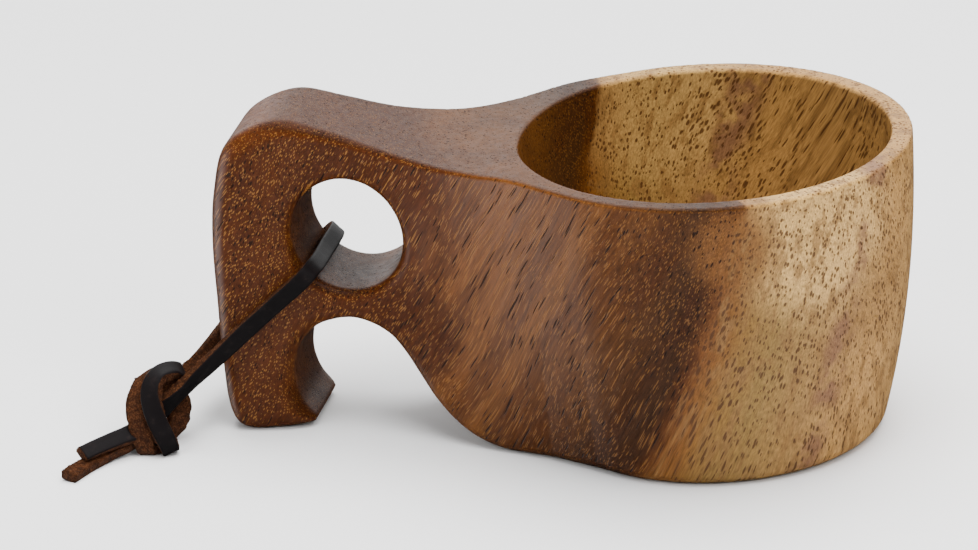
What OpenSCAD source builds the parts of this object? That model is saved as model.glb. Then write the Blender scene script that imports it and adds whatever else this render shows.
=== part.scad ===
// A kuksa: a drinking cup carved from one block of wood, with a handle that has a round
// finger hole and a hook under it, and a leather lace tied round the handle's outer leg.
//
// The bowl's axis is Z and the flat base is at Z = 0. The handle points along -X.
// All sizes are in millimetres.

/* [Bowl] */
// Height of the rim above the table
rim_height = 63.5; // [58:0.5:70]
// Inside diameter at the rim
rim_inner_d = 76; // [70:0.5:80]
// Thickness of the wall at the rim
rim_wall = 4.45; // [3.6:0.05:5]
// Depth of the hollow below the rim
bowl_depth = 56.5; // [48:0.5:57]
// How far the outside of the wall leans in, from the rim down to the base
wall_lean = 8.2; // [5:0.1:9]
// Radius of the rounded edge round the base
base_edge_r = 4; // [2:0.5:6]
// Radius of the rounded lip
lip_r = 1.6; // [1:0.1:1.7]

/* [Handle] */
// From the bowl's axis to the far end of the handle
handle_reach = 102.9; // [100:0.1:106]
// Thickness of the handle beside the finger hole
slab_t = 25; // [23:0.5:26]

/* [Finger hole] */
// Diameter of the finger hole
finger_hole_d = 24.2; // [20:0.2:25]
// From the bowl's axis to the finger hole's centre
finger_hole_x = 73.7; // [72:0.1:75]
// Height of the finger hole's centre
finger_hole_z = 43.6; // [42.5:0.1:44.5]
// Radius of the rounded edge of the finger hole
hole_edge_r = 2.5; // [1:0.1:3]

/* [Hook] */
// Diameter of the round gap under the finger hole
hook_gap_d = 27.0; // [24:0.2:27.6]
// Height of the gap's centre
hook_gap_z = 11.8; // [10.5:0.1:12]

/* [Lace] */
// Width of the leather strip
lace_w = 3.6; // [3:0.1:4]
// Thickness of the leather strip
lace_t = 2.1; // [1.6:0.1:2.3]
// Diameter of the knot
knot_d = 14; // [12:0.5:14]
// Length of the knot
knot_l = 12; // [10:0.5:13]

/* [Hidden] */

WOOD = [0.55, 0.31, 0.14];
LEATHER = [0.10, 0.09, 0.09];
FLESH = [0.36, 0.18, 0.10];

rim_inner_r = rim_inner_d / 2;
rim_outer_r = rim_inner_r + rim_wall;
lean_power = 2.25;    // the wall leans in slowly near the rim and faster near the base
hollow_power = 4.5;   // how square the hollow's corner is, seen from the side: along its depth
hollow_root = 2.6;    // and along its radius
round_steps = 6;      // facets along a quarter round
wall_steps = 20;      // bands down the hollow's wall
side_steps = 5;       // bands up the outside, between the rounded edges
past = 4;             // how far a cutter runs past what it cuts

// Rows of the handle, from its far end to where it joins the round of the bowl:
// [from the far end, underside height, top above the rim, half width beyond half the slab,
//  lower edge radius, upper edge radius, share of the wall's lean]
HANDLE = [
    [0.0, 32.0, -25.0, -10.0, 1.2, 1.2, 0.00],
    [0.4, 23.0, -18.5, -6.5, 2.5, 2.5, 0.00],
    [1.2, 8.0, -12.0, -4.0, 4.0, 4.0, 0.00],
    [2.7, 1.6, -6.2, -1.8, 4.5, 4.5, 0.00],
    [5.2, 0.3, -0.6, 0.1, 4.0, 4.5, 0.00],
    [8.7, 0.0, 2.8, 0.6, 3.5, 4.2, 0.00],
    [14.7, 0.0, 4.6, 0.1, 3.0, 3.8, 0.00],
    [22.7, 0.0, 3.7, -0.1, 3.0, 3.5, 0.00],
    [29.7, 0.0, 2.0, 0.0, 3.0, 3.2, 0.00],
    [36.7, 0.0, 0.1, 1.1, 3.0, 3.0, 0.00],
    [44.7, 0.0, -1.2, 3.4, 3.0, 2.8, 0.05],
    [52.7, 0.0, -1.6, 6.8, 3.0, 2.6, 0.20],
    [60.7, 0.0, -1.2, 11.4, 3.2, 2.4, 0.50],
    [68.7, 0.0, -0.3, 16.5, 3.5, 2.0, 0.85],
    [74.7, 0.0, 0.0, 20.3, 3.8, 1.8, 0.95]
];
row_steps = 2;        // sections from one row to the next
round_turn = 122;     // how far the round of the bowl goes, from +X towards the handle
turn_step = 4;        // angle from one section of the bowl's round to the next
first_turn = 2;       // the last section, beside the +X axis
join_slope = 0.62;    // slope in plan where the handle meets the round of the bowl

hook_tip_turn = 228;  // where the gap's round ends at the tip of the hook, from +X towards +Z
hook_tip_slope = 1.2; // how far the tip leans back under the leg
arch_turn = 35;       // where the gap's round runs out into the underside of the handle
// Underside of the handle from the arch to the flat base, [x, z]
HOOK_MOUTH = [[-60.1, 14.8], [-55.9, 9.4], [-49.7, 3.4], [-43.5, 0.7], [-36, 0]];

// The loop of the lace: from the knot over the front of the leg, through the finger hole,
// down behind the leg and back to the knot.
LOOP_ROUTE = [
    [-109.3, -20.2, 11.6],
    [-107.9, -19.4, 12.8],
    [-105.5, -18.9, 15.0],
    [-100.4, -17.0, 19.3],
    [-96.3, -15.5, 22.9],
    [-91.5, -15.0, 27.2],
    [-87.2, -14.9, 31.1],
    [-84.2, -14.2, 33.8],
    [-82.2, -12.3, 35.5],
    [-81.0, -8.5, 36.3],
    [-81.0, 0.0, 36.3],
    [-81.0, 8.5, 36.3],
    [-82.2, 12.5, 35.5],
    [-83.8, 14.6, 33.9],
    [-87.5, 14.9, 30.2],
    [-93.5, 15.0, 24.6],
    [-99.4, 15.0, 19.9],
    [-104.4, 11.8, 16.4],
    [-106.2, 5.0, 15.0],
    [-106.8, -2.0, 14.4],
    [-108.0, -8.0, 13.4],
    [-109.8, -12.6, 12.4],
    [-111.6, -15.1, 11.2]
];
LOOP_WIDTH_DIR = [-0.68, 0, 0.73];
TAIL_WIDTH_DIR = [0.76, -0.64, 0];

KNOT_AT = [-113, -20.6, 8.2];
KNOT_DIR = [-0.74, -0.43, -0.52];

// The two free ends, from the knot's end to their tips.
UPPER_TAIL_ROUTE = [
    [-116.7, -24.3, 4.6],
    [-118.9, -27.2, 4.5],
    [-120.9, -29.2, 4.2],
    [-123.0, -31.2, 3.9],
    [-126.6, -35.7, 3.4]
];
LOWER_TAIL_ROUTE = [
    [-117.2, -23.0, 3.4],
    [-118.6, -25.2, 2.6],
    [-120.2, -27.6, 2.0],
    [-122.3, -30.4, 1.6],
    [-125.3, -35.2, 1.2],
    [-127.9, -41.9, 1.2]
];

// Vectors
function unit(v) = v / norm(v);
function square_to(v, t) = unit(v - (v * t) * t);

// Catmull-Rom curve through rows of numbers, at t counted in rows
function row_near(rows, i) = rows[max(0, min(len(rows) - 1, i))];
function curve_row(rows, t) =
    let (
        i = min(floor(t), len(rows) - 2),
        u = t - i,
        a = row_near(rows, i - 1),
        b = rows[i],
        c = rows[i + 1],
        d = row_near(rows, i + 2)
    )
    b + u / 2 * ((c - a) + u * ((2 * a - 5 * b + 4 * c - d) + u * (3 * (b - c) + d - a)));
function curve(rows, steps) =
    [for (k = [0 : (len(rows) - 1) * steps]) curve_row(rows, k / steps)];

// Walls of a tube of rings that all have n points, and its two ends
function ring_walls(rings, n) = [
    for (i = [0 : rings - 2], k = [0 : n - 1])
        let (a = i * n + k, b = i * n + (k + 1) % n)
        each [[a, b, b + n], [a, b + n, a + n]]
];
function fan(first, n, flip) = [
    for (k = [1 : n - 2])
        flip ? [first, first + k, first + k + 1] : [first, first + k + 1, first + k]
];

// Outside radius of the bowl, and how far the wall has leant in, at height z
function lean_at(z) = wall_lean * pow(max(0, rim_height - z) / rim_height, lean_power);
// Radius of the hollow at depth d below the rim
function hollow_r(d) = rim_inner_r * pow(max(0, 1 - pow(d / bowl_depth, hollow_power)), 1 / hollow_root);

// Sections of the blank, each [x, half width, underside, top, lower edge radius, upper edge
// radius, lean share, direction in plan that the side faces]
function bowl_section(turn) = [
    rim_outer_r * cos(turn), rim_outer_r * sin(turn), 0, rim_height,
    base_edge_r, lip_r, 1, [cos(turn), sin(turn)]
];
function handle_section(row) = [
    row[0] - handle_reach, slab_t / 2 + row[3], row[1], rim_height + row[2],
    row[4], row[5], row[6], unit([-row[6] * join_slope, 1])
];

// Side of a section on +Y, from its underside to its top
function side_points(s) =
    let (
        bottom = s[2],
        top = s[3],
        lower_r = s[4],
        upper_r = s[5],
        straight = top - bottom - lower_r - upper_r,
        arc = [for (k = [0 : round_steps]) 90 * k / round_steps],
        lower = [for (a = arc) [lower_r * (1 - sin(a)), bottom + lower_r * (1 - cos(a))]],
        middle = [for (k = [1 : side_steps - 1]) [0, bottom + lower_r + straight * k / side_steps]],
        upper = [for (a = arc) [upper_r * (1 - cos(a)), top - upper_r * (1 - sin(a))]]
    )
    [
        for (p = concat(lower, middle, upper))
            let (inset = p[0] + s[6] * lean_at(p[1]))
            [s[0] - inset * s[7][0], s[1] - inset * s[7][1], p[1]]
    ];
function ring(s) =
    let (side = side_points(s), n = len(side))
    concat([for (q = side) [q[0], -q[1], q[2]]], [for (k = [n - 1 : -1 : 0]) side[k]]);
// Closes the end ring that starts at point first, in strips from side to side
function ladder(first, n, flip) = [
    for (k = [0 : n / 2 - 2])
        let (a = first + k, b = first + k + 1, c = first + n - 2 - k, d = first + n - 1 - k)
        each flip ? [[a, c, b], [a, d, c]] : [[a, b, c], [a, c, d]]
];

// The whole outside of the cup, with no hollow, hole or gap
module blank() {
    handle = [for (row = curve(HANDLE, row_steps)) handle_section(row)];
    bowl = [for (turn = [round_turn : -turn_step : first_turn]) bowl_section(turn)];
    rings = [for (s = concat(handle, bowl)) ring(s)];
    n = len(rings[0]);
    last = (len(rings) - 1) * n;
    polyhedron(
        points = [for (r = rings) each r],
        faces = concat(ring_walls(len(rings), n), ladder(0, n, true), ladder(last, n, false)),
        convexity = 6
    );
}

module bowl_hollow() {
    wall = [
        for (k = [0 : wall_steps])
            let (d = bowl_depth * sin(90 * k / wall_steps))
            if (d > 2 * lip_r) [hollow_r(d), rim_height - d]
    ];
    rounded_lip = [
        for (k = [0 : round_steps])
            let (a = 90 * k / round_steps)
            [rim_inner_r + lip_r * (1 - sin(a)), rim_height - lip_r * (1 - cos(a))]
    ];
    rotate_extrude($fn = 128)
        polygon(concat([[0, rim_height + past], [rim_inner_r + lip_r, rim_height + past]], rounded_lip, wall));
}

// A round hole through the handle, with its edges rounded until they slope away at flare_turn
module finger_hole() {
    r = finger_hole_d / 2;
    start = slab_t / 2 - hole_edge_r;
    flare_turn = 50;
    flare_reach = 12;
    edge = [
        for (k = [0 : round_steps])
            let (a = flare_turn * k / round_steps)
            [r + hole_edge_r * (1 - cos(a)), start + hole_edge_r * sin(a)]
    ];
    mouth = edge[round_steps] + flare_reach * [1, 1 / tan(flare_turn)];
    half = concat(edge, [mouth]);
    mirrored = [for (k = [len(half) - 1 : -1 : 0]) [half[k][0], -half[k][1]]];
    translate([-finger_hole_x, 0, finger_hole_z])
        rotate([90, 0, 0])
            rotate_extrude($fn = 96)
                polygon(concat([[0, -mouth[1]]], mirrored, half, [[0, mouth[1]]]));
}

module hook_gap() {
    centre = [-finger_hole_x, hook_gap_z];
    r = hook_gap_d / 2;
    cut_width = 2 * slab_t;
    tip = centre + r * [cos(hook_tip_turn), sin(hook_tip_turn)];
    arch_end = centre + r * [cos(arch_turn), sin(arch_turn)];
    base_edge = HOOK_MOUTH[len(HOOK_MOUTH) - 1];
    translate([0, cut_width / 2, 0])
        rotate([90, 0, 0])
            linear_extrude(cut_width) {
                translate(centre) circle(r, $fn = 96);
                polygon(concat(
                    [centre, tip, tip - [hook_tip_slope, past], base_edge + [past, -past]],
                    [for (k = [len(HOOK_MOUTH) - 1 : -1 : 0]) HOOK_MOUTH[k]],
                    [arch_end]
                ));
            }
}

module cup() {
    color(WOOD)
        difference() {
            blank();
            bowl_hollow();
            finger_hole();
            hook_gap();
        }
}

// A flat strip with chamfered edges, swept along a route
module strip(route, width_dir, steps) {
    path = curve(route, steps);
    n = len(path);
    a = lace_w / 2;
    b = lace_t / 2;
    c = lace_t / 4;
    outline = [
        [a - c, b], [-a + c, b], [-a, b - c], [-a, -b + c],
        [-a + c, -b], [a - c, -b], [a, -b + c], [a, b - c]
    ];
    rings = [
        for (i = [0 : n - 1])
            let (
                along = unit(path[min(i + 1, n - 1)] - path[max(i - 1, 0)]),
                across = square_to(width_dir, along),
                up = cross(along, across)
            )
            [for (p = outline) path[i] + p[0] * across + p[1] * up]
    ];
    sides = len(outline);
    polyhedron(
        points = [for (ring = rings) each ring],
        faces = concat(ring_walls(n, sides), fan(0, sides, false), fan((n - 1) * sides, sides, true)),
        convexity = 8
    );
}

module lace_loop() {
    color(LEATHER) strip(LOOP_ROUTE, LOOP_WIDTH_DIR, 2);
}

module lace_knot() {
    r = knot_d / 2;
    edge = 3;
    half = knot_l / 2;
    turn = acos(KNOT_DIR[2] / norm(KNOT_DIR));
    swing = atan2(KNOT_DIR[1], KNOT_DIR[0]);
    rounded = [
        for (k = [0 : round_steps])
            let (a = 90 * k / round_steps)
            [r - edge * (1 - cos(a)), half - edge * (1 - sin(a))]
    ];
    lower = [for (k = [round_steps : -1 : 0]) [rounded[k][0], -rounded[k][1]]];
    color(FLESH)
        translate(KNOT_AT)
            rotate([0, turn, swing])
                rotate_extrude($fn = 48)
                    polygon(concat([[0, -half]], lower, rounded, [[0, half]]));
}

module lace_tail_upper() {
    color(LEATHER) strip(UPPER_TAIL_ROUTE, TAIL_WIDTH_DIR, 2);
}

module lace_tail_lower() {
    color(FLESH) strip(LOWER_TAIL_ROUTE, TAIL_WIDTH_DIR, 2);
}

cup();
lace_loop();
lace_knot();
lace_tail_upper();
lace_tail_lower();
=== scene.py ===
"""A carved wooden drinking cup with a leather lace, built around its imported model."""

import math

import bpy
import numpy as np
from mathutils import Matrix, Vector


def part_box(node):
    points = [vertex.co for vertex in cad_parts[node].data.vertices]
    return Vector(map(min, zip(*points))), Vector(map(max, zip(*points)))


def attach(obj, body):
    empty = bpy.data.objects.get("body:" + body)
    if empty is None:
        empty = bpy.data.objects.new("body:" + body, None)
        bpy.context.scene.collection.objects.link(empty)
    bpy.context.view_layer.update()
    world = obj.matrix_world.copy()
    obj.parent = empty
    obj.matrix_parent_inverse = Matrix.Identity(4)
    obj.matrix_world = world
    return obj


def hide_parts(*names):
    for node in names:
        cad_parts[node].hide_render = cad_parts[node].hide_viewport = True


MM = 0.001

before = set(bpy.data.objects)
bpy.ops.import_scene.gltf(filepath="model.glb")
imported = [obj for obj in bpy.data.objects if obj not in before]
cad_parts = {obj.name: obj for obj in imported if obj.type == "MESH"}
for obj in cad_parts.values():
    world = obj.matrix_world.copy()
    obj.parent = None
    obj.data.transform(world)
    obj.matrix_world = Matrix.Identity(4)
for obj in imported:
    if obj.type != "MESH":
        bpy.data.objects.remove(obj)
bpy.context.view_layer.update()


# ---------------------------------------------------------------- camera, floor and light

CAMERA_TURN = math.radians(13.1)       # round the cup, from straight in front towards +X
CAMERA_LIFT = math.radians(21.6)       # above the horizon
CAMERA_ROLL = math.radians(3.4)        # the cup's +X side goes up in the picture
CAMERA_DISTANCE = 1.5
CAMERA_TARGET = Vector((-0.0467, 0.0, 0.0313))
SENSOR_WIDTH = 36.0
CAMERA_LENS = 267.1                    # in the sensor's unit

FLOOR_SIZE = 6.0
FLOOR_GREY = 0.93

LIGHT_AIM = Vector((-0.02, 0, 0.03))
LIGHTS = [                             # name, place, size, power
    ("top_box", (0.1, 0.05, 1.1), (1.2, 0.9), 33),
    ("left_box", (-0.8, -0.9, 0.75), (0.8, 0.8), 8),
    ("front_box", (0.9, -0.9, 0.9), (0.7, 0.7), 11),
]

SURROUND_BRIGHTNESS = 0.04             # between the cards
CARD_SOFTNESS = 0.6                    # how far a card's edge fades, as a share of the card
STUDIO_CARDS = [                       # direction, spread in degrees, brightness
    ((-1.0, 0.0, -0.2), 24, 2.6),      # low on the left
    ((-0.15, 1.0, 0.45), 36, 1.35),    # behind
    ((0.2, 0.2, 1.0), 45, 0.9),        # above
]


def camera_axes():
    """The camera's right, up and back directions."""
    turn, lift, roll = CAMERA_TURN, CAMERA_LIFT, CAMERA_ROLL
    back = Vector((math.sin(turn) * math.cos(lift), -math.cos(turn) * math.cos(lift), math.sin(lift)))
    level_right = Vector((math.cos(turn), math.sin(turn), 0.0))
    level_up = back.cross(level_right)
    right = level_right * math.cos(roll) - level_up * math.sin(roll)
    up = level_up * math.cos(roll) + level_right * math.sin(roll)
    return right, up, back


def add_camera():
    right, up, back = camera_axes()
    data = bpy.data.cameras.new("camera")
    data.sensor_width = SENSOR_WIDTH
    data.lens = CAMERA_LENS
    camera = bpy.data.objects.new("camera", data)
    bpy.context.scene.collection.objects.link(camera)
    pose = Matrix((right, up, back)).transposed().to_4x4()
    pose.translation = CAMERA_TARGET + back * CAMERA_DISTANCE
    camera.matrix_world = pose
    bpy.context.scene.camera = camera


add_camera()


def new_material(name):
    """A material with a node tree that holds only a Principled shader and the output."""
    material = bpy.data.materials.new(name)
    material.use_nodes = True
    return material, material.node_tree.nodes["Principled BSDF"]


def add_floor():
    half = FLOOR_SIZE / 2
    mesh = bpy.data.meshes.new("floor")
    corners = [(-half, -half, 0), (half, -half, 0), (half, half, 0), (-half, half, 0)]
    mesh.from_pydata(corners, [], [(0, 1, 2, 3)])
    floor = bpy.data.objects.new("floor", mesh)
    bpy.context.scene.collection.objects.link(floor)
    material, shader = new_material("floor_paper")
    shader.inputs["Base Color"].default_value = (FLOOR_GREY, FLOOR_GREY, FLOOR_GREY, 1)
    shader.inputs["Roughness"].default_value = 1.0
    shader.inputs["Specular IOR Level"].default_value = 0.0
    mesh.materials.append(material)
    floor.visible_glossy = False           # the studio's low cards show in the wood's gloss instead


def add_area_light(name, place, size, power):
    data = bpy.data.lights.new(name, "AREA")
    data.shape = "RECTANGLE"
    data.size, data.size_y = size
    data.energy = power
    light = bpy.data.objects.new(name, data)
    bpy.context.scene.collection.objects.link(light)
    light.location = place
    light.visible_glossy = False           # the cards show in the gloss instead
    light.rotation_mode = "QUATERNION"
    light.rotation_quaternion = (LIGHT_AIM - Vector(place)).to_track_quat("-Z", "Y")


def add_world():
    """A dim surround with soft bright cards in it."""
    world = bpy.data.worlds.new("studio")
    world.use_nodes = True
    tree = world.node_tree

    def operate(kind, operation, *values):
        node = tree.nodes.new(kind)
        node.operation = operation
        for socket, value in zip(node.inputs, values):
            if isinstance(value, bpy.types.NodeSocket):
                tree.links.new(value, socket)
            else:
                socket.default_value = value
        return node

    direction = tree.nodes.new("ShaderNodeTexCoord").outputs["Generated"]
    total = SURROUND_BRIGHTNESS
    for aim, spread, brightness in STUDIO_CARDS:
        toward = operate("ShaderNodeVectorMath", "DOT_PRODUCT", direction, Vector(aim).normalized())
        card = tree.nodes.new("ShaderNodeMapRange")
        card.interpolation_type = "SMOOTHSTEP"
        edge = math.cos(math.radians(spread))
        tree.links.new(toward.outputs["Value"], card.inputs["Value"])
        card.inputs["From Min"].default_value = edge - CARD_SOFTNESS * (1 - edge)
        card.inputs["From Max"].default_value = edge + CARD_SOFTNESS * (1 - edge)
        card.inputs["To Max"].default_value = brightness
        total = operate("ShaderNodeMath", "ADD", card.outputs[0], total).outputs[0]
    tree.nodes["Background"].inputs["Color"].default_value = (1, 1, 1, 1)
    tree.links.new(total, tree.nodes["Background"].inputs["Strength"])
    bpy.context.scene.world = world


add_floor()
add_world()
for row in LIGHTS:
    add_area_light(*row)


# ---------------------------------------------------------------- the carved block, in millimetres

CUP_HIGH = Vector(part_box("cup")[1]) / MM
OUTER_R = CUP_HIGH.x + 0.05            # at the rim; the CAD's round is faceted and ends a little short of it
RIM_WALL = 4.45
INNER_R = OUTER_R - RIM_WALL
RIM_Z = 63.5
RIM_EDGE_R = 0.8
HOLLOW_DEPTH = 56.5
HOLLOW_ROOT = 2.6                      # how square the hollow's corner is, along its radius
HOLLOW_POWER = 4.5                     # and along its depth
WALL_LEAN = 8.2                        # how far the wall leans in, from the rim to the base
LEAN_POWER = 2.25                      # it leans in slowly near the rim and faster near the base

FINGER_HOLE = (-73.7, 43.6, 12.1)      # x, z, radius
HOLE_EDGE_R = 2.4
HOLE_DISH = 0.55                       # how deep the sides are dished round the finger hole
HOLE_DISH_MIDDLE = 1                   # the dish is deepest this far outside the hole
HOLE_DISH_REACH = 4.5
HOOK_GAP = (-73.8, 11.8, 13.5)         # x, z, radius

# The handle seen from the side, (x, z): along its top, round its end and along its underside
HANDLE_TOP = [(0, 63.5), (-22, 63.5), (-34, 63.4), (-44, 62.1),
              (-54, 61.8), (-66, 63.6), (-78, 66.7), (-88, 68.2)]
HANDLE_END = [(-98.3, 62.8), (-101.8, 52), (-102.9, 40), (-102.6, 28),
              (-102.2, 16), (-101.5, 6), (-99.6, 1.2)]
HANDLE_FOOT = [(-96, 0), (-89, 0.1), (-84.6, 0.9)]
HOOK_TURNS = [228, 205, 180, 150, 120, 90, 60, 35]   # round the hook's gap, in degrees from +X
HANDLE_UNDERSIDE = [(-55.9, 9.4), (-49.7, 3.4), (-43, 0.6), (-36, 0), (-10, 0), (20, 0)]

# Half width of the handle at x, from its end to where it meets the bowl's round
HALF_WIDTH = [(-112, 12.6), (-103, 13.0), (-94, 13.1), (-84, 12.2), (-73, 12.4), (-62, 14.6),
              (-52, 18.4), (-42, 23.9), (-32, 30.3), (-26, 34.0)]
BOWL_TURN = 122                        # where the bowl's round starts, in degrees from +X

# Radius of the carved edges between the side walls and the top or underside, at x
UPPER_EDGE = [(-103, 5), (-92, 4), (-80, 2.6), (-60, 1.3), (-40, 0.9), (-15, 0.75), (45, 0.75)]
LOWER_EDGE = [(-103, 4.0), (-96, 3.2), (-90, 4.2), (-82, 4.2), (-78, 2.4),
              (-60, 2.4), (-42, 2.4), (-20, 2.7), (45, 3.0)]
EDGE_CHANGE_Z = 18                     # the radius changes from the lower to the upper above this height
EDGE_CHANGE_HEIGHT = 22                # and has changed this much higher

# Share of the wall's lean that the side walls have at x
LEAN_SHARE = [(-66, 0.0), (-56, 0.06), (-50, 0.21), (-45, 0.34),
              (-40, 0.50), (-35, 0.68), (-30, 0.86), (-20, 1.0)]

CHART_STEP = 0.5
GRID_STEP = 0.8
GRID_LOW, GRID_HIGH = (-105, -45, -2), (45, 45, 71)
GRID_SHIFT = 0.37                      # in steps, to keep the grid off the flat faces


def unit_rows(v):
    return v / np.linalg.norm(v, axis=1, keepdims=True)


def smooth_step(t):
    t = np.clip(t, 0, 1)
    return t * t * (3 - 2 * t)


def along(rows, x):
    """Value at x, by straight steps between rows of (x, value)."""
    places, values = zip(*rows)
    return np.interp(x, places, values)


def curve_between(before, here, after, second, steps):
    """Points of a Catmull-Rom curve from each row of here to the same row of after."""
    out = []
    for k in range(steps):
        t = k / steps
        squared = 2 * before - 5 * here + 4 * after - second
        cubed = 3 * here - before - 3 * after + second
        out.append(0.5 * (2 * here + (after - before) * t + squared * t * t + cubed * t**3))
    return np.stack(out, 1).reshape(-1, here.shape[1])


def closed_curve(points, steps=8):
    """Points of a smooth curve through a closed ring of points."""
    p = np.asarray(points, float)
    return curve_between(np.roll(p, 1, 0), p, np.roll(p, -1, 0), np.roll(p, -2, 0), steps)


def outline_distance(outline, u, v):
    """Signed distance from points to a closed outline, negative inside it."""
    a, b = outline, np.roll(outline, -1, 0)
    nearest = np.full(u.shape, 1e9)
    inside = np.zeros(u.shape, bool)
    for (au, av), (bu, bv) in zip(a, b):
        du, dv = bu - au, bv - av
        t = np.clip(((u - au) * du + (v - av) * dv) / (du * du + dv * dv + 1e-12), 0, 1)
        nearest = np.minimum(nearest, (u - au - t * du) ** 2 + (v - av - t * dv) ** 2)
        if av != bv:
            inside ^= ((av > v) != (bv > v)) & (u < au + (v - av) * du / dv)
    return np.where(inside, -1, 1) * np.sqrt(nearest)


class Chart:
    """A smooth function of two coordinates, kept on a grid and read between its points."""

    def __init__(self, make, low, high, step, softening):
        margin = 3 * step
        self.low, self.step = np.array(low, float) - margin, step
        axes = [np.arange(start - margin, end + margin, step) for start, end in zip(low, high)]
        values = make(*np.meshgrid(*axes, indexing="ij"))
        for _ in range(softening):
            for axis in (0, 1):
                padded = np.pad(values, [(1, 1) if a == axis else (0, 0) for a in (0, 1)], mode="edge")
                first = np.take(padded, range(0, values.shape[axis]), axis)
                last = np.take(padded, range(2, values.shape[axis] + 2), axis)
                values = (first + 2 * values + last) / 4
        self.values = values

    def __call__(self, u, v):
        rows, weights = [], []
        for c, low, count in zip((u, v), self.low, self.values.shape):
            t = (c - low) / self.step
            i = np.clip(np.floor(t).astype(int), 1, count - 3)
            f = np.clip(t - i, 0, 1)
            rows.append(i)
            weights.append(((-f + 2 * f**2 - f**3) / 2, (2 - 5 * f**2 + 3 * f**3) / 2,
                            (f + 4 * f**2 - 3 * f**3) / 2, (f**3 - f**2) / 2))
        total = 0
        for a in range(4):
            for b in range(4):
                value = self.values[rows[0] + a - 1, rows[1] + b - 1]
                total = total + weights[0][a] * weights[1][b] * value
        return total


def side_outline():
    x, z, r = HOOK_GAP
    gap = [(x + r * math.cos(math.radians(a)), z + r * math.sin(math.radians(a))) for a in HOOK_TURNS]
    bowl_side = [(40, 0), (60, 0), (80, 0), (80, RIM_Z), (60, RIM_Z), (40, RIM_Z)]
    return closed_curve(bowl_side + HANDLE_TOP + HANDLE_END + HANDLE_FOOT + gap + HANDLE_UNDERSIDE)


def plan_outline():
    turns = np.radians(np.arange(-BOWL_TURN, BOWL_TURN + 1, 4))
    bowl = [(OUTER_R * math.cos(a), OUTER_R * math.sin(a)) for a in turns]
    back = [(x, w) for x, w in reversed(HALF_WIDTH)]
    front = [(x, -w) for x, w in HALF_WIDTH]
    return closed_curve(bowl + back + front, 4)


side_chart = Chart(lambda x, z: outline_distance(side_outline(), x, z), (-108, -5), (48, 73), CHART_STEP, 2)
plan_chart = Chart(lambda x, y: outline_distance(plan_outline(), x, y), (-108, -48), (48, 48), CHART_STEP, 4)


def smooth_max(a, b, radius):
    """The larger of two distances, with the edge between them rounded to a radius."""
    corner = np.hypot(np.maximum(a + radius, 0), np.maximum(b + radius, 0))
    return np.minimum(np.maximum(a, b), -radius) + corner


def hollow(r, z):
    """Distance into the bowl's hollow, positive in the wood."""
    depth = np.maximum(RIM_Z - z, 0)
    across, down = r / INNER_R, depth / HOLLOW_DEPTH
    value = across**HOLLOW_ROOT + down**HOLLOW_POWER - 1
    slope_across = HOLLOW_ROOT * across ** (HOLLOW_ROOT - 1) / INNER_R
    slope_down = HOLLOW_POWER * down ** (HOLLOW_POWER - 1) / HOLLOW_DEPTH
    return value / np.maximum(np.hypot(slope_across, slope_down), 0.01)


def wood(x, y, z):
    """Signed distance to the cup's surface, negative in the wood."""
    r = np.hypot(x, y)
    height = np.clip((RIM_Z - z) / RIM_Z, 0, 1)
    share = along(LEAN_SHARE, x)
    lean = WALL_LEAN * height**LEAN_POWER * share
    lean_slope = WALL_LEAN * LEAN_POWER * height ** (LEAN_POWER - 1) * share / RIM_Z
    walls = (plan_chart(x, y) + lean) / np.sqrt(1 + lean_slope**2)
    hole_r = np.hypot(x - FINGER_HOLE[0], z - FINGER_HOLE[1])
    from_dish = (hole_r - FINGER_HOLE[2] - HOLE_DISH_MIDDLE) / HOLE_DISH_REACH
    walls = walls + HOLE_DISH * np.exp(-(from_dish**2))
    upper = smooth_step((z - EDGE_CHANGE_Z) / EDGE_CHANGE_HEIGHT)
    edge = along(UPPER_EDGE, x) * upper + along(LOWER_EDGE, x) * (1 - upper)
    block = smooth_max(walls, side_chart(x, z), edge)
    block = smooth_max(block, FINGER_HOLE[2] - hole_r, HOLE_EDGE_R)
    return smooth_max(block, -hollow(r, z), RIM_EDGE_R)


def wood_slope(points, reach=0.15):
    """Gradient of the wood's distance at points."""
    slope = []
    for axis in range(3):
        ahead, behind = points.copy(), points.copy()
        ahead[:, axis] += reach
        behind[:, axis] -= reach
        slope.append((wood(*ahead.T) - wood(*behind.T)) / (2 * reach))
    return np.stack(slope, 1)


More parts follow.
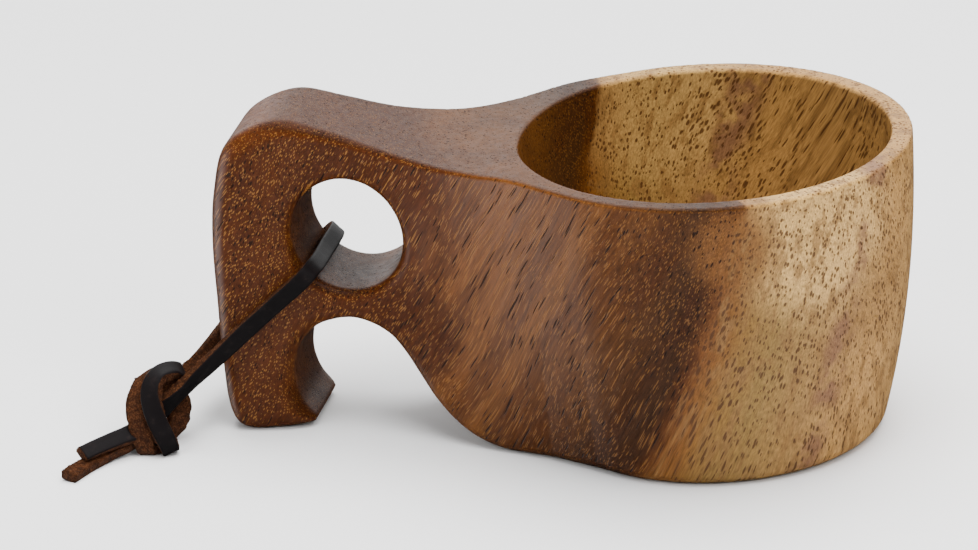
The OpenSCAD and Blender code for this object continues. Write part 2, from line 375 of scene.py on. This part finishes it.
def surface_net(values, low, step):
    """Points and quads of the surface where a grid of distances crosses zero."""
    inside = values < 0
    cells = tuple(n - 1 for n in values.shape)
    total, count = np.zeros(cells + (3,)), np.zeros(cells)
    corners = [(0, 0), (0, 1), (1, 0), (1, 1)]
    for axis in range(3):
        others = [a for a in range(3) if a != axis]
        for pair in corners:
            start = [0, 0, 0]
            start[others[0]], start[others[1]] = pair
            end = list(start)
            end[axis] = 1
            first = values[tuple(slice(s, s + n) for s, n in zip(start, cells))]
            second = values[tuple(slice(s, s + n) for s, n in zip(end, cells))]
            crossing = (first < 0) != (second < 0)
            share = np.where(crossing, first / np.where(crossing, first - second, 1), 0)
            for a in range(3):
                total[..., a] += np.where(crossing, start[a] + (share if a == axis else 0), 0)
            count += crossing
    used = count > 0
    number = np.full(cells, -1)
    number[used] = np.arange(used.sum())
    places = np.argwhere(used) + total[used] / count[used][:, None]
    quads = []
    for axis in range(3):
        u, v = (axis + 1) % 3, (axis + 2) % 3
        length = values.shape[axis] - 1
        first = np.take(inside, range(0, length), axis)
        second = np.take(inside, range(1, length + 1), axis)
        for flip in (False, True):
            found = np.argwhere((first & ~second) if flip else (~first & second))
            found = found[(found[:, u] > 0) & (found[:, v] > 0)
                          & (found[:, u] < cells[u]) & (found[:, v] < cells[v])]
            ring = []
            for du, dv in ((0, 0), (-1, 0), (-1, -1), (0, -1)):
                cell = found.copy()
                cell[:, u] += du
                cell[:, v] += dv
                ring.append(number[tuple(cell.T)])
            quads.append(np.stack(ring if flip else ring[::-1], 1))
    return np.array(low) + places * step, np.concatenate(quads)


def relax(points, quads, rounds=3, share=0.6, longest_step=0.5):
    """Evens out the spacing of a surface's points, and puts them back on the wood's surface."""
    starts = quads.ravel()
    ends = np.roll(quads, -1, 1).ravel()
    counts = np.bincount(starts, minlength=len(points)) + np.bincount(ends, minlength=len(points))
    for _ in range(rounds):
        middle = np.zeros_like(points)
        for axis in range(3):
            middle[:, axis] = (np.bincount(starts, points[ends, axis], len(points))
                               + np.bincount(ends, points[starts, axis], len(points))) / counts
        points = points + share * (middle - points)
        for _ in range(2):
            slope = wood_slope(points)
            size = np.maximum((slope**2).sum(1, keepdims=True), 0.2)
            off = np.clip(wood(*points.T), -longest_step, longest_step)
            points = points - off[:, None] * slope / size
    return points


def shade_mesh(name, points, faces, normals=None):
    """A smooth-shaded object from points in metres."""
    mesh = bpy.data.meshes.new(name)
    mesh.from_pydata([tuple(p) for p in points], [], [tuple(int(i) for i in f) for f in faces])
    mesh.shade_smooth()
    if normals is not None:
        mesh.normals_split_custom_set_from_vertices([tuple(n) for n in normals])
    obj = bpy.data.objects.new(name, mesh)
    bpy.context.scene.collection.objects.link(obj)
    return obj


def carve_cup():
    shift = GRID_SHIFT * GRID_STEP
    axes = [np.arange(low + shift, high, GRID_STEP) for low, high in zip(GRID_LOW, GRID_HIGH)]
    values = wood(*np.meshgrid(*axes, indexing="ij"))
    points, quads = surface_net(values, [a[0] for a in axes], GRID_STEP)
    points = relax(points, quads)
    points[:, 2] = np.maximum(points[:, 2], 0)
    normals = unit_rows(wood_slope(points))
    return shade_mesh("cup_wood", points * MM, quads, normals)


cup = carve_cup()
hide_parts("cup")
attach(cup, "cup")


# ---------------------------------------------------------------- the leather lace, in millimetres

LACE_WIDTH = 3.6
LACE_THICKNESS = 2.1
LACE_CORNER_R = 0.42
LACE_SPACING = 0.45                    # from one section of the strip to the next
KNOT_MIDDLE = (-114, -21, 8)
KNOT_REACH = 10                        # from its middle
KNOT_FADE = 3                          # the strip widens over this much of it
KNOT_SPREAD = 0.16                     # how much wider the strip is pressed where it is knotted
FLOOR_GAP = 0.05
BROWN_RAGGEDNESS = 0.17                # the brown side and the cut edges are rough
BLACK_RAGGEDNESS = 0.02                # and the black side is smooth
SMOOTH_ABOVE = 0.6                     # height over the strip's middle where it turns smooth
BLACK_ABOVE = 0.75                     # and where it turns black

# One strip from its upper tip to its lower tip: x, y, z, and the way its black grain side faces
LACE_ROUTE = [
    # upper tail, and under the knot to its lower right corner
    (-126.6, -35.7, 3.4, 0.03, -0.80, 0.60),
    (-123.0, -31.2, 3.9, 0.03, -0.80, 0.60),
    (-118.9, -27.2, 4.5, 0.03, -0.80, 0.60),
    (-116.7, -24.3, 4.0, -0.01, -0.83, 0.56),
    (-114.5, -22.4, 2.9, 0.05, -0.95, -0.30),
    (-111.8, -23.3, 2.0, 0.08, -0.15, -0.98),
    (-110.4, -26.4, 1.4, 0.46, -0.77, -0.45),
    # black turn, up over the front of the knot
    (-110.8, -27.2, 3.6, 0.44, -0.86, 0.25),
    (-112.3, -26.7, 6.8, 0.31, -0.88, 0.36),
    (-113.7, -25.5, 10.3, 0.06, -0.93, 0.37),
    (-114.2, -23.6, 13.4, -0.25, -0.83, 0.50),
    (-113.1, -21.1, 15.6, -0.20, -0.50, 0.84),
    (-110.9, -18.8, 15.9, 0.40, -0.20, 0.89),
    # down behind it, round its left end and back through its middle
    (-109.8, -16.6, 14.6, 0.90, 0.20, 0.40),
    (-111.6, -14.4, 13.9, 0.10, 0.95, 0.30),
    (-114.8, -14.5, 12.8, -0.25, 0.95, 0.20),
    (-117.7, -15.8, 11.0, -0.47, 0.88, -0.07),
    (-119.7, -18.1, 7.6, -0.96, 0.26, -0.13),
    (-118.8, -20.7, 5.2, -0.82, -0.45, -0.37),
    (-116.0, -22.5, 5.8, 0.10, -0.99, -0.12),
    (-113.5, -22.3, 8.0, 0.35, -0.90, -0.25),
    (-110.6, -21.0, 10.5, 0.50, -0.72, -0.48),
    # over the front of the handle's leg to the finger hole
    (-107.9, -19.4, 12.8, 0.50, -0.66, -0.56),
    (-105.5, -18.9, 15.0, 0.38, -0.83, -0.42),
    (-100.4, -17.0, 19.3, 0.22, -0.95, -0.24),
    (-96.3, -15.6, 22.9, 0.14, -0.99, -0.12),
    (-91.5, -15.0, 27.2, 0.12, -0.99, -0.10),
    (-87.2, -14.9, 31.1, 0.12, -0.99, -0.08),
    (-84.2, -14.6, 33.7, 0.15, -0.98, 0.02),
    (-82.3, -13.7, 35.4, 0.28, -0.88, 0.28),
    (-81.5, -11.6, 36.2, 0.62, -0.35, 0.70),
    # through the hole along its wall
    (-81.2, -8.5, 36.3, 0.70, 0.00, 0.70),
    (-81.3, 0.0, 36.1, 0.70, 0.00, 0.70),
    (-81.2, 8.5, 36.2, 0.70, 0.00, 0.70),
    (-82.0, 12.5, 35.6, 0.62, 0.47, 0.62),
    # down behind the leg and round its end to the knot
    (-83.6, 14.7, 34.0, 0.15, 0.98, 0.15),
    (-87.5, 14.8, 30.2, 0.00, 1.00, 0.00),
    (-93.5, 14.7, 24.6, -0.05, 1.00, -0.05),
    (-99.3, 14.6, 19.9, -0.20, 0.97, -0.10),
    (-103.9, 11.7, 16.6, -0.70, 0.68, -0.20),
    (-105.7, 5.2, 15.0, -0.91, 0.10, -0.40),
    (-106.4, -2.0, 14.4, -0.86, -0.10, -0.50),
    (-107.9, -8.0, 13.4, -0.78, 0.10, -0.62),
    # into the knot from behind, up, and down over its front with the brown side out
    (-109.8, -12.6, 12.4, -0.47, 0.57, -0.68),
    (-111.6, -15.1, 11.2, -0.48, 0.65, -0.60),
    (-113.8, -17.2, 9.9, -0.49, 0.70, -0.52),
    (-116.2, -18.0, 9.8, -0.15, 0.50, -0.85),
    (-117.5, -18.7, 12.2, 0.21, 0.22, -0.95),
    (-116.0, -20.6, 14.6, 0.40, -0.04, -0.91),
    (-116.9, -23.0, 12.2, -0.06, 0.84, -0.55),
    (-117.3, -24.8, 9.1, -0.11, 0.92, -0.37),
    (-116.5, -26.2, 5.7, -0.21, 0.91, -0.37),
    (-115.6, -26.8, 2.8, -0.21, 0.97, -0.09),
    # under the knot, up its right side, and back through it behind
    (-115.0, -26.6, 1.1, -0.07, 0.54, 0.84),
    (-113.5, -23.5, 0.9, 0.00, 0.30, 0.95),
    (-111.9, -19.4, 2.4, -0.40, 0.70, 0.55),
    (-110.2, -17.3, 5.6, -0.45, 0.88, -0.10),
    (-110.9, -15.4, 8.1, -0.40, 0.75, -0.50),
    (-113.8, -15.4, 7.4, -0.20, 0.85, -0.50),
    (-116.6, -17.5, 5.0, -0.20, 0.85, -0.50),
    (-118.4, -21.3, 2.7, -0.15, 0.60, -0.80),
    # lower tail
    (-119.7, -26.6, 2.2, -0.11, 0.25, -0.96),
    (-122.3, -29.7, 1.7, -0.11, 0.25, -0.96),
    (-125.3, -34.8, 1.2, -0.11, 0.25, -0.96),
    (-127.9, -41.9, 1.2, -0.11, 0.25, -0.96),
]


def open_curve(rows, steps):
    """Points of a smooth curve through an open line of rows."""
    p = np.asarray(rows, float)
    p = np.concatenate([2 * p[:1] - p[1:2], p, 2 * p[-1:] - p[-2:-1]])
    return np.concatenate([curve_between(p[:-3], p[1:-2], p[2:-1], p[3:], steps), p[-2:-1]])


def even_spacing(rows, spacing):
    """Rows at equal distances along the line of their first three numbers."""
    lengths = np.linalg.norm(np.diff(rows[:, :3], axis=0), axis=1)
    place = np.concatenate([[0], np.cumsum(lengths)])
    count = int(round(place[-1] / spacing)) + 1
    wanted = np.linspace(0, place[-1], count)
    return np.stack([np.interp(wanted, place, column) for column in rows.T], 1), wanted


def wander(places, seed, pitch):
    """A smooth random value from -1 to 1 at each place along a line."""
    knots = np.random.default_rng(seed).uniform(-1, 1, int(places.max() / pitch) + 3)
    return np.interp(places / pitch, np.arange(len(knots)), knots)


def strip_section(steps=4, flat_steps=6):
    """Outline of the strip across its length: grain side up, as (across, up) pairs."""
    half_w, half_t, corner = LACE_WIDTH / 2, LACE_THICKNESS / 2, LACE_CORNER_R
    points = []
    for turn, (cx, cy) in enumerate([(1, 1), (-1, 1), (-1, -1), (1, -1)]):
        for k in range(steps + 1):
            a = math.radians(90 * turn + 90 * k / steps)
            points.append((cx * (half_w - corner) + corner * math.cos(a),
                           cy * (half_t - corner) + corner * math.sin(a)))
        if turn in (0, 2):
            side = 1 if turn == 0 else -1
            for k in range(1, flat_steps):
                points.append((side * (half_w - corner) * (1 - 2 * k / flat_steps), side * half_t))
    return points


def cut_lace():
    """The lace, the line along its middle in metres, and which of its faces are on the grain side."""
    rows, places = even_spacing(open_curve(LACE_ROUTE, 12), LACE_SPACING)
    centre = rows[:, :3]
    forward = unit_rows(np.gradient(centre, axis=0))
    up = unit_rows(rows[:, 3:] - (rows[:, 3:] * forward).sum(1, keepdims=True) * forward)
    across = np.cross(up, forward)
    section = strip_section()
    sides = len(section)
    in_knot = smooth_step((KNOT_REACH - np.linalg.norm(centre - KNOT_MIDDLE, axis=1)) / KNOT_FADE)
    points = np.zeros((len(centre), sides, 3))
    for k, (x, y) in enumerate(section):
        ragged = BROWN_RAGGEDNESS if y < SMOOTH_ABOVE else BLACK_RAGGEDNESS
        slow = wander(places, 10 + k, 1.6)
        fine = wander(places, 50 + k, 0.5)
        grow = 1 + ragged * (0.5 * slow + 0.6 * fine)
        width = 1 + 0.05 * wander(places, 3, 9.0) + KNOT_SPREAD * in_knot
        points[:, k] = centre + (x * grow * width)[:, None] * across + (y * grow)[:, None] * up
    points[..., 2] = np.maximum(points[..., 2], FLOOR_GAP)
    faces, grain = [], []
    for i in range(len(centre) - 1):
        for k in range(sides):
            m = (k + 1) % sides
            faces.append((i * sides + k, i * sides + m, (i + 1) * sides + m, (i + 1) * sides + k))
            grain.append(section[k][1] > BLACK_ABOVE and section[m][1] > BLACK_ABOVE)
    last = (len(centre) - 1) * sides
    faces.append(tuple(range(sides))[::-1])
    faces.append(tuple(range(last, last + sides)))
    grain += [False, False]
    lace = shade_mesh("lace", points.reshape(-1, 3) * MM, faces)
    layer = lace.data.uv_layers.new(name="strip")
    for polygon in lace.data.polygons:
        for loop in polygon.loop_indices:
            i, k = divmod(lace.data.loops[loop].vertex_index, sides)
            layer.data[loop].uv = (places[i] * MM, section[k][0] * MM)
    return lace, centre * MM, grain


lace, lace_path, lace_grain = cut_lace()
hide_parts("lace_loop", "lace_knot", "lace_tail_upper", "lace_tail_lower")
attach(lace, "lace")


# ---------------------------------------------------------------- materials

class Nodes:
    """Adds nodes to a material, one short call each.

    The inputs are numbers, vectors or other nodes' outputs.
    """

    def __init__(self, name):
        self.material, self.shader = new_material(name)
        self.tree = self.material.node_tree

    def put(self, socket, value):
        if isinstance(value, bpy.types.NodeSocket):
            self.tree.links.new(value, socket)
        else:
            socket.default_value = value

    def set(self, **inputs):
        """Sets the shader's inputs; an underscore in a name stands for a space."""
        for name, value in inputs.items():
            self.put(self.shader.inputs[name.replace("_", " ")], value)

    def operate(self, kind, operation, values):
        node = self.tree.nodes.new(kind)
        node.operation = operation
        for socket, value in zip(node.inputs, values):
            self.put(socket, value)
        return node

    def math(self, operation, *values):
        return self.operate("ShaderNodeMath", operation, values).outputs[0]

    def product(self, first, *others):
        for value in others:
            first = self.math("MULTIPLY", first, value)
        return first

    def vector(self, operation, *values):
        node = self.operate("ShaderNodeVectorMath", operation, values)
        return node.outputs["Value" if operation in ("DOT_PRODUCT", "LENGTH") else "Vector"]

    def combine(self, x, y, z):
        node = self.tree.nodes.new("ShaderNodeCombineXYZ")
        for socket, value in zip(node.inputs, (x, y, z)):
            self.put(socket, value)
        return node.outputs[0]

    def coordinate(self, kind):
        return self.tree.nodes.new("ShaderNodeTexCoord").outputs[kind]

    def millimetres(self):
        """The place on the object, in millimetres."""
        node = self.tree.nodes.new("ShaderNodeVectorMath")
        node.operation = "SCALE"
        self.put(node.inputs[0], self.coordinate("Object"))
        self.put(node.inputs["Scale"], 1 / MM)
        return node.outputs[0]

    def noise(self, place, scale=1.0, detail=2.0, roughness=0.5):
        node = self.tree.nodes.new("ShaderNodeTexNoise")
        self.put(node.inputs["Vector"], place)
        self.put(node.inputs["Scale"], scale)
        self.put(node.inputs["Detail"], detail)
        self.put(node.inputs["Roughness"], roughness)
        return node.outputs["Fac"]

    def cells(self, place):
        """Distance to the nearest cell's centre, and that cell's random colour."""
        node = self.tree.nodes.new("ShaderNodeTexVoronoi")
        self.put(node.inputs["Vector"], place)
        self.put(node.inputs["Scale"], 1.0)
        self.put(node.inputs["Randomness"], 1.0)
        return node.outputs["Distance"], node.outputs["Color"]

    def fade(self, value, start, end, low=0.0, high=1.0):
        """Smooth change from low to high as value goes from start to end."""
        node = self.tree.nodes.new("ShaderNodeMapRange")
        node.interpolation_type = "SMOOTHSTEP"
        names = ("Value", "From Min", "From Max", "To Min", "To Max")
        for name, v in zip(names, (value, start, end, low, high)):
            self.put(node.inputs[name], v)
        return node.outputs[0]

    def mix(self, share, a, b, blend="MIX"):
        node = self.tree.nodes.new("ShaderNodeMix")
        node.data_type, node.blend_type = "RGBA", blend
        self.put(node.inputs["Factor"], share)
        for socket, value in zip((node.inputs[6], node.inputs[7]), (a, b)):
            self.put(socket, value if isinstance(value, bpy.types.NodeSocket) else (*value, 1))
        return node.outputs[2]

    def ramp(self, value, stops):
        """Colour at value, between stops of (value, colour) in rising order."""
        low, high = stops[0][0], stops[-1][0]
        node = self.tree.nodes.new("ShaderNodeValToRGB")
        elements = node.color_ramp.elements
        while len(elements) < len(stops):
            elements.new(0.5)
        for element, (place, colour) in zip(elements, stops):
            element.position = (place - low) / (high - low)
            element.color = (*colour, 1)
        self.put(node.inputs[0], self.math("DIVIDE", self.math("SUBTRACT", value, low), high - low))
        return node.outputs[0]

    def bump(self, height, distance, strength):
        node = self.tree.nodes.new("ShaderNodeBump")
        self.put(node.inputs["Height"], height)
        self.put(node.inputs["Distance"], distance)
        self.put(node.inputs["Strength"], strength)
        return node.outputs[0]


# The block's grain: the way its fibres run, and the way its growth rings face
FIBRE = Vector((0.50, -0.32, 0.87)).normalized()
RING = Vector((0.81, 0.51, -0.28))
RING = (RING - RING.dot(FIBRE) * FIBRE).normalized()
SIDE = FIBRE.cross(RING)
SAPWOOD_START = -24.7                  # where the pale sapwood starts, in millimetres along RING

# Colour of the wood by distance in millimetres from where the sapwood starts
WOOD_COLOURS = [
    (-90, (0.066, 0.0155, 0.0025)),
    (-60, (0.072, 0.0175, 0.0027)),
    (-43, (0.064, 0.0160, 0.0028)),
    (-36, (0.128, 0.041, 0.0070)),
    (-26, (0.126, 0.043, 0.0078)),
    (-14, (0.070, 0.0235, 0.0048)),
    (-9, (0.046, 0.0165, 0.0050)),
    (-4, (0.038, 0.0140, 0.0045)),
    (-1.8, (0.070, 0.022, 0.0042)),
    (0, (0.125, 0.042, 0.0075)),
    (3, (0.162, 0.064, 0.0120)),
    (7, (0.190, 0.096, 0.0215)),
    (13, (0.208, 0.120, 0.0310)),
    (23, (0.265, 0.145, 0.0420)),
    (36, (0.360, 0.190, 0.0540)),
    (45, (0.370, 0.200, 0.0600)),
]
DARK_HEARTWOOD = (0.046, 0.011, 0.0025)
TAN_SAPWOOD = (0.190, 0.095, 0.028)
# Pale sapwood colour; near the rim on the front right it also stands for painted light from above
PALE_SAPWOOD_AND_PAINTED_LIGHT = (0.560, 0.335, 0.108)
PURPLE_SAPWOOD = (0.165, 0.075, 0.040)
GOLD_PORES = (0.270, 0.112, 0.022)
DARK_PORES = (0.012, 0.005, 0.003)
BROWN_PORES = (0.070, 0.027, 0.008)

# Places made paler: the first, near the rim on the front right, is partly the sapwood's own cream tone and
# partly painted light from above; the second is the sapwood's own tone
PALE_WOOD_AND_PAINTED_LIGHT_PLACES = [                        # middle in millimetres, reach, strength
    ((30, -31, 55), 24, 0.80),
    ((-17, 36, 56), 24, 0.50),
]
STAINS = [                             # middle in millimetres, reach, strength, colour
    ((-59, -16, 25), 15, 0.80, DARK_HEARTWOOD),
    ((13, -41, 54), 12, 0.85, (0.140, 0.052, 0.0100)),
    ((38, -17, 37), 15, 0.40, TAN_SAPWOOD),
]
PURPLE_BAND = 29.0                     # a stained band, in millimetres past the sapwood's start
STREAK_TINTS = [(0.25, (0.54, 0.54, 0.54)), (0.75, (1.46, 1.46, 1.46))]

# Scale along x, y and z, and reach in millimetres
WAVE_SCALE, WAVE_REACH = (0.035, 0.035, 0.02), 1.4
RIPPLE_SCALE, RIPPLE_REACH = (0.12, 0.12, 0.12), 0.3
BLOTCH_SCALE, BLOTCH_REACH = (0.14, 0.14, 0.14), 1.4

# Each layer of pores is shifted by its own amount, so that no two are alike
FINE_LAYERS = (2.0, 5.1)
COARSE_LAYERS = (0.0, 7.3, 13.1)


class WoodNodes(Nodes):
    """Nodes that know the wood's grain: where a place lies along and across the fibres."""

    def __init__(self, name):
        super().__init__(name)
        self.place = self.millimetres()
        wave = self.swing(WAVE_SCALE, WAVE_REACH)
        self.ring = self.math("ADD", self.measure(RING), wave)
        side = self.math("SUBTRACT", self.measure(SIDE), wave)
        self.length = self.measure(FIBRE)
        self.rippled_ring = self.math("ADD", self.ring, self.swing(RIPPLE_SCALE, RIPPLE_REACH, start=3.0))
        self.rippled_side = self.math("ADD", side, self.swing(RIPPLE_SCALE, RIPPLE_REACH, start=9.0))

    def measure(self, direction):
        """Millimetres along a direction."""
        return self.vector("DOT_PRODUCT", self.place, tuple(direction))

    def swing(self, scale, reach, detail=1.0, start=0.0):
        """A smooth random number from about -reach to reach."""
        moved = self.vector("ADD", self.vector("MULTIPLY", self.place, scale), (start, start, start))
        return self.math("MULTIPLY", self.math("SUBTRACT", self.noise(moved, 1.0, detail), 0.5), 2 * reach)

    def fibre_space(self, across, along, start=0.0):
        """Coordinates in the fibres' own frame, in units of across and along millimetres."""
        return self.combine(self.math("ADD", self.math("DIVIDE", self.rippled_side, across), start),
                            self.math("ADD", self.math("DIVIDE", self.rippled_ring, across), start),
                            self.math("DIVIDE", self.length, along))

    def fibre_noise(self, across, along, detail=2.0, roughness=0.5):
        return self.noise(self.fibre_space(across, along), 1.0, detail, roughness)

    def near(self, middle, reach, strength=1.0):
        """Strength round a place, fading to nothing at its reach."""
        away = self.vector("LENGTH", self.vector("SUBTRACT", self.place, middle))
        return self.fade(away, reach, 0.4 * reach, 0.0, strength)

    def pores(self, across, along, layers, least, most, growth=1.0):
        """1 in a pore and 0 elsewhere: tubes along the fibres that come and go."""
        found = 0.0
        for start in layers:
            distance, chance = self.cells(self.fibre_space(across, along, start))
            size = self.fade(self.vector("DOT_PRODUCT", chance, (1, 0, 0)), 0.0, 1.0, least, most)
            size = self.math("MULTIPLY", size, growth)
            layer = self.fade(distance, size, self.math("MULTIPLY", size, 0.6))
            found = self.math("MAXIMUM", found, layer)
        return found


def distance_from_sapwood(n):
    """Millimetres along RING from where the sapwood starts, made ragged and blotchy."""
    ragged = n.math("SUBTRACT", n.fibre_noise(across=2.2, along=30, detail=3.0, roughness=0.6), 0.5)
    blotches = n.swing(BLOTCH_SCALE, BLOTCH_REACH, detail=3.0, start=5.0)
    border = n.math("ADD", n.math("MULTIPLY", ragged, 3.0), blotches)
    return n.math("SUBTRACT", n.math("ADD", n.ring, border), SAPWOOD_START)


def banded_colour(n, from_sap, heart, sap):
    """Bands of darker red-brown in the heartwood, and of tan, purple and pale wood in the sapwood; near the
    rim on the front right the pale wood is partly painted light from above.
    """
    colour = n.ramp(from_sap, WOOD_COLOURS)
    dark_bands = n.fade(n.fibre_noise(across=7, along=90), 0.40, 0.66)
    colour = n.mix(n.product(dark_bands, heart, 0.5), colour, DARK_HEARTWOOD)
    # Paler sapwood round these places; near the rim on the front right this is partly painted light from
    # above
    for middle, reach, strength in PALE_WOOD_AND_PAINTED_LIGHT_PLACES:
        colour = n.mix(n.product(n.near(middle, reach), sap, strength), colour, PALE_SAPWOOD_AND_PAINTED_LIGHT)
    for middle, reach, strength, stain in STAINS:
        colour = n.mix(n.near(middle, reach, strength), colour, stain)
    tan_bands = n.fade(n.fibre_noise(across=2.6, along=45, detail=3.0, roughness=0.65), 0.46, 0.64)
    colour = n.mix(n.product(sap, tan_bands, 0.75), colour, TAN_SAPWOOD)
    from_purple = n.math("ABSOLUTE", n.math("SUBTRACT", from_sap, PURPLE_BAND))
    patches = n.fade(n.noise(n.place, 0.13, 3.0, 0.6), 0.40, 0.58)
    return n.mix(n.product(n.fade(from_purple, 5.0, 1.0), patches, 0.8), colour, PURPLE_SAPWOOD)


def end_grain_shade(n, heart):
    """How much darker the heartwood is where its fibres end at the surface."""
    facing = n.math("ABSOLUTE", n.vector("DOT_PRODUCT", n.coordinate("Normal"), tuple(FIBRE)))
    return n.product(n.fade(facing, 0.55, 0.80), n.fade(heart, 0.0, 1.0, 0.0, 0.45))


def wood_material():
    n = WoodNodes("acacia_wood")
    from_sap = distance_from_sapwood(n)
    heart = n.fade(from_sap, 0.5, -1.5)
    sap = n.math("SUBTRACT", 1.0, heart)
    colour = banded_colour(n, from_sap, heart, sap)

    streaks = n.fibre_noise(across=0.35, along=9, detail=3.0, roughness=0.6)
    colour = n.mix(1.0, colour, n.ramp(streaks, STREAK_TINTS), "MULTIPLY")

    # Fine pores, which shine gold in the heartwood
    fine = n.pores(across=0.34, along=9.0, layers=FINE_LAYERS, least=0.08, most=0.42)
    gold = n.product(fine, heart, n.fade(from_sap, -50, -34, 0.78, 0.42))
    colour = n.mix(gold, colour, GOLD_PORES)

    # Coarse dark pores, in clusters, larger in the sapwood
    clusters = n.fade(n.fibre_noise(across=7, along=22, roughness=0.6), 0.36, 0.62, 0.65, 1.0)
    growth = n.product(clusters, n.fade(sap, 0.0, 1.0, 1.0, 1.5))
    coarse = n.pores(across=0.80, along=15.0, layers=COARSE_LAYERS, least=0.0, most=0.31, growth=growth)
    colour = n.mix(n.product(coarse, 0.88), colour, n.mix(heart, BROWN_PORES, DARK_PORES))

    colour = n.mix(end_grain_shade(n, heart), colour, (0.0, 0.0, 0.0))
    pits = n.math("ADD", coarse, n.product(fine, 0.3))
    height = n.math("SUBTRACT", n.product(streaks, 0.25), pits)
    rough = n.fade(n.fibre_noise(across=1.5, along=20), 0.3, 0.7, 0.33, 0.43)
    rough = n.math("ADD", rough, n.product(coarse, 0.25))
    n.set(Base_Color=colour, Roughness=rough, Specular_IOR_Level=0.32,
          Normal=n.bump(height, 0.05 * MM, 0.8))
    return n.material


def grain_leather():
    n = Nodes("leather_grain")
    place = n.millimetres()
    pebbles, _ = n.cells(n.vector("MULTIPLY", place, (4.5, 4.5, 4.5)))
    wear = n.fade(n.noise(place, 0.5, 4.0, 0.7), 0.55, 0.80)
    colour = n.mix(wear, (0.0065, 0.0052, 0.0056), (0.018, 0.013, 0.012))
    n.set(Base_Color=colour, Roughness=n.fade(wear, 0, 1, 0.42, 0.58), Specular_IOR_Level=0.2,
          Normal=n.bump(pebbles, 0.03 * MM, 0.5))
    return n.material


def flesh_leather():
    n = Nodes("leather_flesh")
    place = n.millimetres()
    fibres = n.noise(place, 3.2, 6.0, 0.75)
    clumps = n.noise(place, 0.9, 3.0, 0.6)
    colour = n.ramp(fibres, [(0.30, (0.010, 0.004, 0.002)), (0.50, (0.050, 0.017, 0.007)),
                             (0.72, (0.180, 0.075, 0.030))])
    colour = n.mix(n.fade(clumps, 0.42, 0.66, 0.0, 0.75), colour, (0.016, 0.007, 0.004))
    n.set(Base_Color=colour, Roughness=0.9, Specular_IOR_Level=0.15, Normal=n.bump(fibres, 0.35 * MM, 1.0))
    return n.material


cup.data.materials.append(wood_material())
lace.data.materials.append(flesh_leather())
lace.data.materials.append(grain_leather())
for polygon, on_grain in zip(lace.data.polygons, lace_grain):
    polygon.material_index = 1 if on_grain else 0
